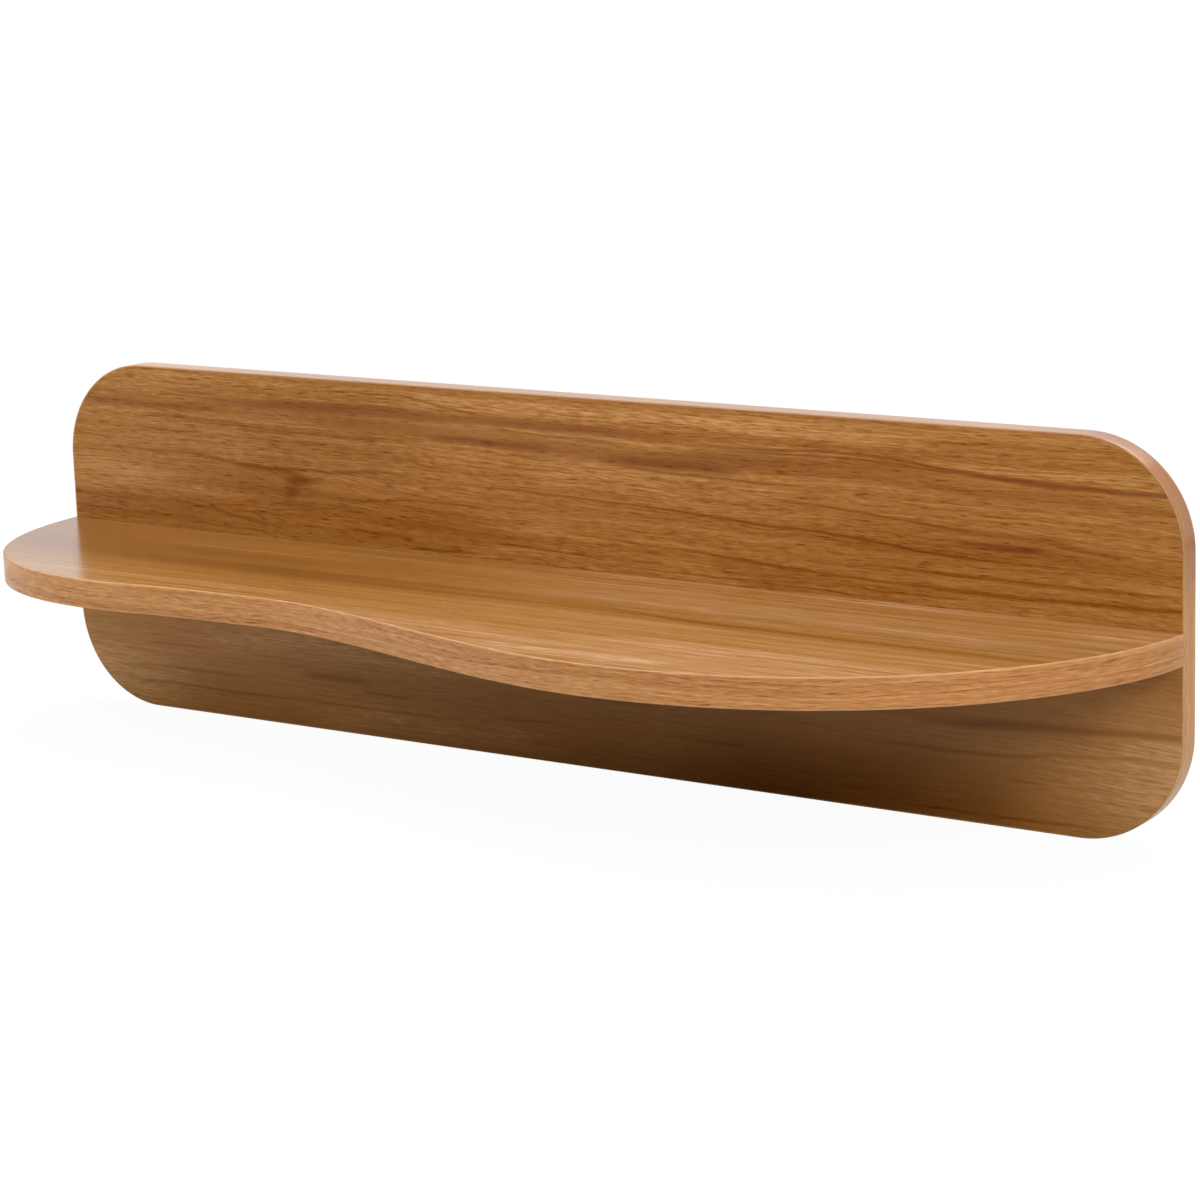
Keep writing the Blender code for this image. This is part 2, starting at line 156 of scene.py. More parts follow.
def closed_loft(name, rings, lengths=None, crosses=None):
    """Make a mesh from rings of points, an array of (ring, point, xyz).

    Point j of ring i is vertex i * m + j. A quad joins points j and j + 1 of one ring to
    those of the next. Both ends are closed by quads between point j and point m - 1 - j,
    so a ring runs out along one side of the section and back along the other. lengths
    and crosses, in metres, become the UV map: how far along the path and over the edge.
    """
    n, m = rings.shape[:2]
    i, j = numpy.meshgrid(numpy.arange(n - 1), numpy.arange(m), indexing="ij")
    k = (j + 1) % m
    sides = numpy.stack([i * m + j, i * m + k, (i + 1) * m + k, (i + 1) * m + j], axis=-1)
    p = numpy.arange(m // 2 - 1)
    start = numpy.stack([p, m - 1 - p, m - 2 - p, p + 1], axis=-1)
    end = (n - 1) * m + start[:, ::-1]
    faces = numpy.vstack([sides.reshape(-1, 4), start, end])
    mesh = bpy.data.meshes.new(name)
    mesh.from_pydata(rings.reshape(-1, 3), [], faces)
    if lengths is not None:
        u = numpy.repeat(lengths, m)
        v = numpy.tile(crosses, n)
        corners = faces.ravel()
        layer = mesh.uv_layers.new(name="along_the_edge")
        layer.data.foreach_set("uv", numpy.column_stack([u[corners], v[corners]]).ravel())
    mesh.polygons.foreach_set("use_smooth", numpy.ones(len(faces), dtype=bool))
    mesh.set_sharp_from_angle(angle=SHARP)
    mesh.update()
    return mesh


def facing_out(mesh):
    """Six times the volume that the faces enclose is the sum of a . (b x c) over their
    triangles: it is above zero where the faces point outwards."""
    mesh.calc_loop_triangles()
    corners = numpy.empty(len(mesh.loop_triangles) * 3, dtype=numpy.int32)
    mesh.loop_triangles.foreach_get("vertices", corners)
    points = numpy.empty(len(mesh.vertices) * 3, dtype=numpy.float32)
    mesh.vertices.foreach_get("co", points)
    a, b, c = points.reshape(-1, 3)[corners].astype(float).reshape(-1, 3, 3).transpose(1, 0, 2)
    return float(numpy.einsum("ij,ij->i", a, numpy.cross(b, c)).sum()) > 0


def place_piece(name, mesh, material, slot, *nodes):
    """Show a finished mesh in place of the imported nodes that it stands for."""
    if not facing_out(mesh):
        mesh.flip_normals()
    piece = bpy.data.objects.new(name, mesh)
    bpy.context.scene.collection.objects.link(piece)
    mesh.materials.append(material)
    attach(piece, "root")
    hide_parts(*nodes)
    print(name, "-", len(mesh.polygons), "faces for", ", ".join(nodes))

# %% [markdown]
# ## How walnut veneer is drawn
#
# Walnut shows its growth at several sizes. Broad bands of tone are the changing years of
# the tree, 15 to 40 mm apart. Growth rings are 3 to 6 mm apart. Fine lines and short
# fibres lie along the grain, 1 to 2 mm apart. Open pores are dark dashes, a few
# millimetres long and, on the real wood, 0.2 mm wide: they are drawn wider here, because
# a picture of this size would lose them. Each layer is a noise stretched along the grain,
# and all of them add up to one number, the tone, which a colour ramp turns into wood.
# Every leaf of veneer is drawn from how far along and how far across the grain a point
# lies, in millimetres.

# %% Colours and nodes
MM = 1000.0                     # millimetres in a metre


def colour(text):
    """Turn an sRGB hex colour into the linear numbers that a shader reads."""
    parts = numpy.array([int(text[k:k + 2], 16) for k in (1, 3, 5)]) / 255
    low = parts / 12.92
    high = ((parts + 0.055) / 1.055) ** 2.4
    return (*numpy.where(parts <= 0.04045, low, high).tolist(), 1.0)


def node(tree, kind, *values, sockets=None, **settings):
    """Add one node: values fill its inputs in order, sockets fills them by name.

    A value that is a node, or a node's output, is linked, and None is left as it is.
    """
    made = tree.nodes.new("ShaderNode" + kind)
    for key, value in settings.items():
        setattr(made, key, value)
    for key, value in [*enumerate(values), *(sockets or {}).items()]:
        if isinstance(value, bpy.types.Node):
            value = value.outputs[0]
        if isinstance(value, bpy.types.NodeSocket):
            tree.links.new(value, made.inputs[key])
        elif value is not None:
            made.inputs[key].default_value = value
    return made


def new_material(name):
    """A material with its own node tree, and the Principled shader in it."""
    material = bpy.data.materials.new(name)
    material.use_nodes = True
    return material, material.node_tree, material.node_tree.nodes["Principled BSDF"]

# %% One layer of grain
ROUGH_GRAIN = 0.6               # how strongly each finer octave of the noise shows


def grain(tree, place, length, width, octaves):
    """Noise from 0 to 1 whose blotches are about length by width millimetres."""
    stretch = (1 / length, 1 / width, 1.0)
    spread = node(tree, "VectorMath", place, stretch, operation="MULTIPLY")
    return node(tree, "TexNoise", sockets={"Vector": spread, "Scale": 1.0, "Detail": octaves,
                                           "Roughness": ROUGH_GRAIN})

# %% [markdown]
# ## Lines with a name
#
# Noise gives a likely leaf of walnut, but not the leaf on this shelf. Its strongest marks
# are listed one by one: a rosy band near the top, long dark lines, and a small knot. Each
# mark follows a course, a few points that a Float Curve node joins smoothly, and fades to
# both sides and to both ends. The knot is made of oval spots. A mark's depth says how
# much darker it is, and a depth below zero makes a pale stripe.
# Some broad marks paint light and shade: painted shade where the shelf darkens the panel, and
# painted light where more light falls.

# %% Marks that follow a course
FADE_SHARE = 0.22               # of a mark's length, at each end
MARGIN = 1.0                    # mm left above and below a course in its curve


def mark(tree, wavy, half_width, depth, course, total):
    """Add one mark to a running total: depth times a bell across the course, times a fade
    at its ends. The course is a list of (along, across) in millimetres."""
    axes = node(tree, "SeparateXYZ", wavy)
    first, last = course[0][0], course[-1][0]
    low = min(y for x, y in course) - MARGIN
    high = max(y for x, y in course) + MARGIN
    share = node(tree, "MapRange", axes.outputs["X"], first, last)
    curve = node(tree, "FloatCurve", 1.0, share)
    points = curve.mapping.curves[0].points
    places = [((x - first) / (last - first), (y - low) / (high - low)) for x, y in course]
    points[0].location, points[1].location = places[0], places[-1]
    for place in places[1:-1]:
        points.new(*place)
    curve.mapping.update()
    middle = node(tree, "MapRange", curve, 0.0, 1.0, low, high)
    off = node(tree, "Math", axes.outputs["Y"], middle, operation="SUBTRACT")
    off = node(tree, "Math", off, operation="ABSOLUTE")
    bell = node(tree, "MapRange", off, 0.0, half_width, depth, 0.0,
                interpolation_type="SMOOTHSTEP")
    fade = (last - first) * FADE_SHARE
    rise = node(tree, "MapRange", axes.outputs["X"], first, first + fade)
    fall = node(tree, "MapRange", axes.outputs["X"], last - fade, last, 1.0, 0.0)
    both = node(tree, "Math", rise, fall, operation="MULTIPLY")
    return node(tree, "Math", bell, both, total, operation="MULTIPLY_ADD")


def spot(tree, wavy, half_along, half_across, depth, centre, total):
    """Add one oval spot to a running total: a bell over the distance from its centre,
    which is counted in half widths, along and across."""
    stretch = (1 / half_along, 1 / half_across, 0.0)
    shift = (-centre[0] / half_along, -centre[1] / half_across, 0.0)
    spread = node(tree, "VectorMath", wavy, stretch, shift, operation="MULTIPLY_ADD")
    far = node(tree, "VectorMath", spread, operation="LENGTH").outputs["Value"]
    bell = node(tree, "MapRange", far, 0.0, 1.0, depth, 0.0, interpolation_type="SMOOTHSTEP")
    return node(tree, "Math", bell, total, operation="ADD")

# %% [markdown]
# ## One function for every leaf
#
# A leaf is built up in the order in which the eye reads it: where the grain lies, the
# layers of noise along it, the marks with a name, the colour, the pores, and the lacquer
# over all of them. Each step is a short function, and the last one joins them into a
# material.

# %% Where the grain lies
# The grain wanders a few millimetres over the length of a hand. Each row: length and
# width of the blotches, and how far the grain is moved in them, in mm
RIPPLE = (60, 16, 1.5)
WANDER = (260, 90, 7.0)


def sway(tree, flat, length, width, reach):
    """Noise in millimetres, from minus to plus the reach."""
    noise = grain(tree, flat, length, width, 1.0)
    return node(tree, "MapRange", noise, 0.0, 1.0, -reach, reach)


def lie_of_the_grain(tree, source, across, leaf, slope):
    """Return four places in mm: along the grain, across it, across it with the ripple,
    and across it with ripple, wander and slope."""
    axes = node(tree, "SeparateXYZ", node(tree, "TexCoord").outputs[source])
    a = node(tree, "Math", axes.outputs["X"], MM, operation="MULTIPLY")
    c = node(tree, "Math", axes.outputs[across], MM, operation="MULTIPLY")
    flat = node(tree, "CombineXYZ", a, c, leaf)
    rippled = node(tree, "Math", c, sway(tree, flat, *RIPPLE), operation="ADD")
    bent = node(tree, "Math", rippled, sway(tree, flat, *WANDER), operation="ADD")
    bent = node(tree, "Math", a, slope, bent, operation="MULTIPLY_ADD")
    return a, c, rippled, bent

# %% The layers of the grain
# Each row: length and width of the blotches in mm, octaves, share of the tone
FACE_LAYERS = {
    "bands": (900, 24, 1.0, 0.34),
    "rings": (240, 4.6, 2.0, 0.44),
    "lines": (60, 1.7, 2.0, 0.54),
    "fibres": (11, 1.0, 2.0, 0.72),
}
SHELF_LAYERS = {
    "bands": (900, 24, 1.0, 0.17),
    "rings": (460, 6.5, 1.5, 0.50),
    "lines": (130, 2.4, 1.5, 0.40),
    "fibres": (20, 1.1, 1.0, 0.20),
}
EDGE_LAYERS = {
    "rings": (400, 3.2, 2.0, 0.50),
    "lines": (90, 1.4, 2.0, 0.50),
    "fibres": (8, 0.9, 2.0, 0.72),
}


def layered(tree, grains, layers, contrast):
    """Add up the layers, each times its share, with zero as their middle."""
    swing = -contrast * sum(row[3] for row in layers.values()) / 2
    for kind, row in layers.items():
        swing = node(tree, "Math", grains[kind], contrast * row[3], swing,
                     operation="MULTIPLY_ADD")
    return swing

# %% Tone and colour
MIDDLE_TONE = 0.5               # 0 is the darkest wood and 1 the palest
ROSY = "#7E4A1E"                # the heartwood's purplish lines
ROSY_DEPTH = 0.4                # how much a full rosy mark darkens the tone
STREAKY = (0.7, 1.3, 0.3, 1.7)  # two noises added, and the share of a mark that they leave

# %% Open pores
PORE_LENGTH = 13.0              # in mm, a blotch of the pores' noise: a dash is only the
PORE_WIDTH = 0.56               # lowest part of one, so it is shorter and narrower
PORE_SLOPE = 0.02               # pores lie about a degree across the rings
PORE_RIM = 0.41                 # the noise at the rim of a dash
PORE_FLOOR = 0.31               # and in its middle
CROWD = (0.25, 0.75, -0.06, 0.05)   # a dark and a pale tone, and what they add to the noise
PORE_COLOUR = "#702E03"
PORE_SHARE = 0.76               # how far a pore goes towards that colour


def open_pores(tree, a, rippled, leaf, slope, tone, pores):
    """Return the pores' noise, and how deep in a pore each point lies. A dash is where
    the stretched noise is low, and dark wood has more of them."""
    steep = node(tree, "Math", a, slope + PORE_SLOPE, rippled, operation="MULTIPLY_ADD")
    place = node(tree, "CombineXYZ", a, steep, leaf)
    dashes = grain(tree, place, PORE_LENGTH, PORE_WIDTH, 1.0)
    crowd = node(tree, "MapRange", tone, *CROWD)
    dash = node(tree, "Math", dashes, crowd, operation="ADD")
    return dashes, node(tree, "MapRange", dash, PORE_RIM, PORE_FLOOR, 0.0, pores)

# %% Worn arrises and their painted highlight
PAINTED_ARRIS_HIGHLIGHT = "#D6B48C"               # sanding leaves an arris paler, and this colour also paints the highlight it catches
ARRIS_SHARE = 0.36              # how far an arris goes towards that colour
ARRIS_WIDTH = 1.5               # in mm, over the round and its two edges
ARRIS_MASK_START = -0.4               # in mm from the arris's inner edge
ARRIS_MASK_FULL = 0.3


def arris_wear_and_highlight(tree, c, band_width):
    """How much wear and painted highlight a band takes: 0 on the flat of its outer side, and 1
    along both arrises.
    """
    off = node(tree, "Math", c, band_width / 2, operation="SUBTRACT")
    off = node(tree, "Math", off, operation="ABSOLUTE")
    edge = band_width / 2 - ARRIS_WIDTH
    return node(tree, "MapRange", off, edge + ARRIS_MASK_START, edge + ARRIS_MASK_FULL)

# %% The lacquer
SHINE = 0.5                     # specular level of the lacquer
PORE_SHINE = 0.06               # the same in a pore, and on a worn arris
PORE_ROUGHER = 0.18             # what a pore or a worn arris adds to the roughness
DENT_DEPTH = 0.0001
DENT_STRENGTH = 0.25


def lacquer(tree, shader, gloss, dull, dashes, pores):
    """Lacquer fills most of a pore, which stays a little lower and much duller than the
    rest. The dent reads the pores' noise alone, because Bump works its height out three
    times."""
    rough = node(tree, "MapRange", dull, 0.0, 1.0, gloss, gloss + PORE_ROUGHER)
    shine = node(tree, "MapRange", dull, 0.0, 1.0, SHINE, PORE_SHINE)
    low = node(tree, "MapRange", dashes, PORE_RIM, PORE_FLOOR, 0.0, -pores)
    dent = node(tree, "Bump", sockets={"Height": low, "Strength": DENT_STRENGTH,
                                       "Distance": DENT_DEPTH})
    tree.links.new(rough.outputs[0], shader.inputs["Roughness"])
    tree.links.new(shine.outputs[0], shader.inputs["Specular IOR Level"])
    tree.links.new(dent.outputs[0], shader.inputs["Normal"])

# %% Walnut veneer as one material
def walnut(name, source, across, leaf, tones, layers=FACE_LAYERS, marks=(), rosy_marks=(),
           spots=(), quiet=None, pores=1.0, contrast=1.0, slope=0.0, gloss=0.26, ior=1.42,
           band_width=None):
    """Open-pored walnut under a thin satin lacquer.

    The grain runs along X of the source, which is Object or UV, and across names the
    other axis. leaf picks another sheet from the trunk. tones are hex colours from dark
    to light. quiet is (from, to, share): up to the first place across, in mm, the grain
    and the pores keep only that share of their strength, and past the second all of it.
    pores and contrast say how strongly pores and grain show, and slope tilts the grain.
    gloss is the lacquer's roughness, and ior is matched to how much the face mirrors.
    band_width, in mm, is given for an edge band, whose two arrises are duller from sanding, and
    paler partly from sanding and partly as a painted highlight.
    """
    material, tree, shader = new_material(name)
    a, c, rippled, bent = lie_of_the_grain(tree, source, across, leaf, slope)
    place = node(tree, "CombineXYZ", a, bent, leaf)
    grains = {kind: grain(tree, place, *row[:3]) for kind, row in layers.items()}

    # The marks follow the ripple, and the fine grain breaks them up
    wavy = node(tree, "CombineXYZ", a, rippled, leaf)
    dark = rosy = 0.0
    for row in marks:
        dark = mark(tree, wavy, *row, dark)
    for row in spots:
        dark = spot(tree, wavy, *row, dark)
    for row in rosy_marks:
        rosy = mark(tree, wavy, *row, rosy)
    streaks = node(tree, "Math", grains["fibres"], grains["lines"], operation="ADD")
    streaks = node(tree, "MapRange", streaks, *STREAKY)
    dark = node(tree, "Math", dark, streaks, operation="MULTIPLY")
    rosy = node(tree, "Math", rosy, streaks, operation="MULTIPLY")

    # All of it adds up to the tone
    calm = node(tree, "MapRange", c, *quiet, 1.0) if quiet else 1.0
    swing = layered(tree, grains, layers, contrast)
    tone = node(tree, "Math", swing, calm, MIDDLE_TONE, operation="MULTIPLY_ADD")
    tone = node(tree, "Math", tone, dark, operation="SUBTRACT")
    tone = node(tree, "Math", rosy, -ROSY_DEPTH, tone, operation="MULTIPLY_ADD")

    # A ramp with the tones at even steps turns it into a colour
    shade = node(tree, "ValToRGB", tone)
    stops = shade.color_ramp.elements
    while len(stops) < len(tones):
        stops.new(0.5)
    for k, text in enumerate(tones):
        stops[k].position = k / (len(tones) - 1)
        stops[k].color = colour(text)
    skin = node(tree, "Mix", sockets={0: rosy, 6: shade, 7: colour(ROSY)}, data_type="RGBA")

    # Pores and worn arrises change the colour and dull the lacquer; the arrises' paler colour is
    # partly a painted highlight
    dashes, dash = open_pores(tree, a, rippled, leaf, slope, tone, pores)
    dull = node(tree, "Math", dash, calm, operation="MULTIPLY")
    share = node(tree, "Math", dull, PORE_SHARE, operation="MULTIPLY")
    skin = node(tree, "Mix", sockets={0: share, 6: skin.outputs[2], 7: colour(PORE_COLOUR)},
                data_type="RGBA")
    if band_width:
        # Painted highlight, in part: the arris mask mixes the arrises towards a paler colour and
        # dulls their lacquer
        wear_and_highlight = arris_wear_and_highlight(tree, c, band_width)
        paler = node(tree, "Math", wear_and_highlight, ARRIS_SHARE, operation="MULTIPLY")
        skin = node(tree, "Mix", sockets={0: paler, 6: skin.outputs[2], 7: colour(PAINTED_ARRIS_HIGHLIGHT)},
                    data_type="RGBA")
        dull = node(tree, "Math", dull, wear_and_highlight, operation="MAXIMUM")
    tree.links.new(skin.outputs[2], shader.inputs["Base Color"])
    shader.inputs["Roughness"].default_value = gloss
    shader.inputs["IOR"].default_value = ior
    if pores:
        lacquer(tree, shader, gloss, dull, dashes, pores)
    return material

# %% The marks on the panel's face
TOP = PANEL_HEIGHT * MM / 2     # marks are placed by their distance below the top edge


def below_top(*rows):
    """Turn courses given as (x, mm below the panel's top) into (x, z)."""
    return [(half, depth, [(x, TOP - down) for x, down in course])
            for half, depth, course in rows]


# Each row: half width in mm, depth, and the course
# Grain lines and broad zones; the broad zones also paint light and shade on the panel
PANEL_MARKS_AND_PAINTED_LIGHT = below_top(
    # Lines above the shelf
    (1.6, 0.20, [(-312, 15), (-290, 15), (-270, 15)]),
    (1.3, 0.26, [(-134, 5), (-104, 10), (-80, 13), (-56, 16)]),
    (1.2, 0.22, [(-342, 39), (-310, 41), (-284, 40)]),
    (1.1, 0.20, [(-264, 37), (-235, 37), (-206, 37)]),
    (2.0, 0.19, [(-330, 53), (-293, 55), (-250, 59), (-225, 60), (-203, 59), (-180, 60),
                 (-150, 57), (-100, 58)]),
    (4.0, 0.20, [(-264, 58), (-232, 61), (-200, 60)]),
    (1.0, 0.16, [(-290, 34), (-240, 35), (-180, 36), (-110, 34)]),
    (2.0, 0.20, [(-176, 93), (-150, 95), (-116, 96)]),
    (1.6, 0.20, [(-60, 93), (-20, 95), (30, 96)]),
    (1.6, 0.24, [(-128, 103), (-100, 102), (-70, 102)]),
    (1.4, 0.22, [(100, 89), (150, 91), (200, 93), (260, 94)]),
    (1.3, 0.18, [(190, 97), (225, 99), (270, 99)]),
    (1.4, 0.26, [(-150, 59), (-60, 60), (0, 61), (70, 63), (120, 66), (170, 68), (220, 71),
                 (250, 74), (320, 76), (400, 76)]),
    (1.3, 0.18, [(-190, 75), (-160, 76), (-120, 72), (-40, 74)]),
    (1.8, 0.13, [(-326, 86), (-288, 89), (-258, 94), (-216, 99)]),
    (2.4, 0.11, [(-440, 87), (-385, 88), (-330, 89)]),
    (1.4, 0.24, [(-20, 82), (60, 86), (110, 88), (156, 91)]),
    (1.8, 0.22, [(190, 80), (250, 85), (300, 86), (440, 85)]),
    (2.2, 0.24, [(220, 88), (290, 95), (340, 94), (440, 93)]),
    (1.2, 0.24, [(128, 51), (170, 52), (220, 56), (274, 60)]),
    (1.2, 0.20, [(0, 99), (60, 101), (130, 101), (250, 104)]),
    # Broad zones above the shelf: partly the leaf's own tone, partly painted shade, darker just
    # above the shelf, and painted light, paler near the top edge
    (9.0, 0.10, [(-170, 88), (-60, 90), (60, 92), (200, 94)]),
    (20.0, 0.14, [(-700, 100), (-300, 99), (-60, 92)]),
    (12.0, 0.14, [(130, 70), (300, 72), (600, 70)]),
    (16.0, 0.13, [(-310, 72), (-180, 77), (-40, 82)]),
    (14.0, -0.08, [(-60, 88), (30, 92), (130, 96)]),
    (8.0, -0.22, [(-200, 10), (-80, 9), (80, 10), (260, 10)]),
    (6.0, -0.14, [(236, 25), (300, 24), (400, 24)]),
    (9.0, -0.08, [(-420, 74), (-370, 74), (-320, 76)]),
    (9.0, 0.04, [(120, 95), (220, 97), (330, 100)]),
    (34.0, -0.13, [(-160, 34), (20, 34), (200, 34)]),
    (18.0, 0.06, [(120, 84), (300, 84), (700, 84)]),
    (5.0, -0.14, [(-420, 5), (-290, 5), (-170, 6)]),
    (8.0, -0.16, [(-460, 31), (-370, 30), (-310, 32)]),
    (6.0, 0.12, [(-196, 30), (-140, 30), (-84, 30)]),
    (8.0, -0.14, [(342, 31), (390, 31), (470, 31)]),
    (10.0, 0.11, [(-340, 70), (-250, 70), (-180, 70)]),
    (8.0, 0.10, [(-200, 101), (-140, 101), (-60, 101)]),
    (9.0, -0.10, [(-40, 51), (20, 50), (80, 52)]),
    # Lines below the shelf
    (1.4, 0.20, [(-350, 186), (-318, 185), (-284, 184)]),
    (1.2, 0.16, [(-266, 184), (-240, 184), (-212, 184)]),
    (1.4, 0.22, [(-370, 201), (-310, 200), (-250, 200)]),
    (1.2, 0.20, [(-376, 203), (-345, 203), (-310, 203)]),
    (1.4, 0.20, [(-226, 210), (-150, 210), (-80, 210)]),
    (1.4, 0.18, [(-168, 200), (-145, 200), (-122, 200)]),
    (1.3, 0.18, [(-60, 204), (-36, 204), (-14, 203)]),
    (1.3, 0.18, [(84, 201), (102, 201), (122, 201)]),
    (1.3, 0.18, [(290, 200), (304, 200), (318, 200)]),
    (1.6, 0.24, [(-390, 211), (-300, 211), (-205, 211)]),
    (1.5, 0.22, [(222, 222), (290, 222), (360, 220)]),
    (2.0, 0.18, [(180, 188), (240, 187), (290, 186), (335, 181), (410, 178)]),
    # Broad zones below the shelf, painted light and shade: darker at the bottom in the middle,
    # under the shelf's deepest lobe, and paler at both ends, just under the shelf and all across
    (70.0, -0.14, [(-760, 200), (-500, 200), (-260, 200)]),
    (70.0, -0.16, [(250, 195), (500, 195), (800, 195)]),
    (40.0, 0.26, [(60, 216), (220, 216), (340, 216)]),
    (34.0, -0.22, [(-520, 214), (-400, 214), (-300, 214)]),
    (18.0, -0.24, [(-310, 174), (-180, 173), (-50, 175)]),
    (16.0, -0.18, [(-220, 216), (-120, 216), (0, 216)]),
    (70.0, -0.20, [(340, 195), (450, 195), (600, 195)]),
    (60.0, -0.10, [(-800, 196), (0, 196), (800, 196)]),
)
# The knot's cap, the cap's tail, and two spots for the stem. Each row: half widths along
# and across in mm, depth, and the centre
KNOT = [(17.0, 6.5, 0.28, (-209, TOP - 66)), (24.0, 4.0, 0.16, (-200, TOP - 66)),
        (9.0, 10.0, 0.16, (-213, TOP - 73)), (8.0, 9.0, 0.12, (-217, TOP - 79))]
ROSY_LINES = below_top(
    (5.0, 0.34, [(-430, 25), (-360, 25), (-310, 25), (-260, 23)]),
    (5.0, 0.45, [(-310, 19), (-260, 19), (-190, 18), (-60, 19), (40, 20), (120, 21)]),
    (9.0, 0.28, [(-300, 23), (-150, 24), (-60, 29), (60, 33), (130, 31), (200, 34)]),
    (1.6, 0.30, [(-70, 24), (-10, 25), (50, 27)]),
    (4.0, 0.42, [(-110, 31), (-70, 32), (-10, 33)]),
    (5.0, 0.50, [(20, 36), (80, 37), (128, 38)]),
    (1.2, 0.45, [(30, 39), (110, 42), (160, 42)]),
    (10.0, 0.17, [(50, 30), (130, 30), (200, 30), (276, 33)]),
    (1.4, 0.48, [(90, 25), (150, 22), (190, 21), (220, 22), (250, 25), (300, 29)]),
    (1.1, 0.40, [(100, 27), (160, 24), (200, 24), (240, 26), (290, 30)]),
    (2.5, 0.72, [(240, 24), (270, 27), (295, 29), (320, 30), (390, 31), (480, 30)]),
    (8.0, 0.15, [(236, 36), (300, 39), (420, 38)]),
    (4.5, 0.30, [(256, 67), (296, 67), (334, 67)]),
    (2.6, 0.70, [(270, 67), (294, 67.5), (318, 67)]),
    (2.4, 0.42, [(316, 61), (340, 65), (372, 67)]),
    (4.0, 0.30, [(226, 58), (280, 60), (340, 61)]),
    (4.0, 0.30, [(-218, 192), (-186, 193), (-154, 193)]),
    (4.5, 0.36, [(230, 172), (300, 168), (350, 166), (400, 164), (470, 161)]),
    (7.0, 0.12, [(60, 168), (200, 168), (350, 169)]),
)
print("marks on the panel:", len(PANEL_MARKS_AND_PAINTED_LIGHT), "dark,", len(ROSY_LINES), "rosy,", len(KNOT),
      "spots")

# %% The marks on the shelf's top
FRONT = -PANEL_THICKNESS * MM   # marks are placed by their distance in front of the panel


def before_panel(*rows):
    """Turn courses given as (x, mm in front of the panel) into (x, y)."""
    return [(half, depth, [(x, FRONT - out) for x, out in course])
            for half, depth, course in rows]


# The wide rows make the top darker at the back left, and paler at the back right and towards the
# front.
SHELF_MARKS_AND_PAINTED_LIGHT = before_panel(
    (4.5, 0.20, [(-420, 74), (-250, 76), (-100, 76), (40, 78), (110, 86), (150, 91),
                 (250, 93), (520, 93)]),
    (12.0, 0.11, [(-420, 88), (-100, 88), (160, 91), (340, 93)]),
    (2.4, 0.13, [(-262, 137), (-190, 139), (-100, 141)]),
    (2.6, 0.12, [(-30, 159), (80, 157), (130, 155), (200, 160), (310, 163)]),
    (2.0, 0.10, [(180, 31), (300, 34), (420, 33)]),
    (90.0, 0.12, [(-700, 60), (-300, 60), (30, 60)]),
    (110.0, -0.12, [(-160, 60), (200, 60), (900, 60)]),
    (70.0, -0.12, [(-700, 185), (0, 185), (700, 185)]),
    # Painted light: a paler stripe along the panel lifts the shade where the shelf meets it
    (14.0, -0.15, [(-40, 4), (140, 4), (320, 4)]),
    (42.0, -0.06, [(-420, 152), (60, 154), (480, 160)]),
    (11.0, -0.24, [(40, 184), (110, 184), (190, 184)]),
    (16.0, 0.10, [(-460, 62), (-300, 62), (-120, 64)]),
    (9.0, 0.14, [(120, 104), (260, 104), (460, 104)]),
    (20.0, -0.12, [(90, 144), (220, 142), (350, 142)]),
    (10.0, -0.08, [(-200, 130), (-110, 132), (-20, 136)]),
    (30.0, -0.12, [(336, 24), (390, 24), (470, 24)]),
    (10.0, -0.12, [(-330, 36), (-220, 37), (-100, 36)]),
)
print("marks on the shelf:", len(SHELF_MARKS_AND_PAINTED_LIGHT))

# %% Walnut for each board
# Tones from dark to light. The shelf's leaf is greyer at its pale end, and the panel's
# band is yellower than the shelf's band
PANEL_TONES = ["#713804", "#8D5408", "#A77031", "#C08A4D", "#D7A36A"]
SHELF_TONES = ["#683A06", "#805018", "#98682E", "#B08356", "#CCA482"]
BAND_TONES = ["#8A4E1C", "#AA6A34", "#C28549", "#D89F62", "#EAB87E"]
RIM_TONES = ["#8A4E12", "#AA6A27", "#C2853A", "#D89F52", "#EAB86C"]

# The panel's face is a flat-cut leaf with a lively figure and open pores, under so thin a
# lacquer that it mirrors little. Its lower part is calmer
panel_walnut = walnut("walnut_veneer_flat_cut", "Object", "Z", 1.0, PANEL_TONES,
                      marks=PANEL_MARKS_AND_PAINTED_LIGHT, rosy_marks=ROSY_LINES, spots=KNOT, slope=0.014,
                      quiet=(-30.0, 0.0, 0.24), ior=1.33)
# The shelf's top is a quiet leaf with filled pores. Its thicker, smoother lacquer mirrors
# the room at a low angle
shelf_walnut = walnut("walnut_veneer_quiet_leaf", "Object", "Y", 7.3, SHELF_TONES,
                      SHELF_LAYERS, marks=SHELF_MARKS_AND_PAINTED_LIGHT, pores=0.0, gloss=0.21, ior=1.75)
# The leaves behind the panel and under the shelf have a satin lacquer and no named marks
rear_walnut = walnut("walnut_veneer_balancing_leaf", "Object", "Z", 13.9, PANEL_TONES, pores=0.8)
underside_walnut = walnut("walnut_veneer_underside_leaf", "Object", "Y", 21.4, SHELF_TONES,
                          SHELF_LAYERS, pores=0.5)
for leaf in (panel_walnut, shelf_walnut, rear_walnut, underside_walnut):
    print(leaf.name, "-", len(leaf.node_tree.nodes), "nodes")

# %% [markdown]
# ## The face veneers
#
# The sheets on the panel's face and on both sides of the shelf are flat, 0.6 mm thick,
# and cut to the board's own outline less the width of the edge band. Each is a grid: one
# parameter runs along the board and the other crosses it from edge to edge.

# %% Veneer on the panel's face
VENEER_INSET = EDGE_BAND + GLUE_LINE
SHEET_ROWS = 8                  # points across one side of a sheet


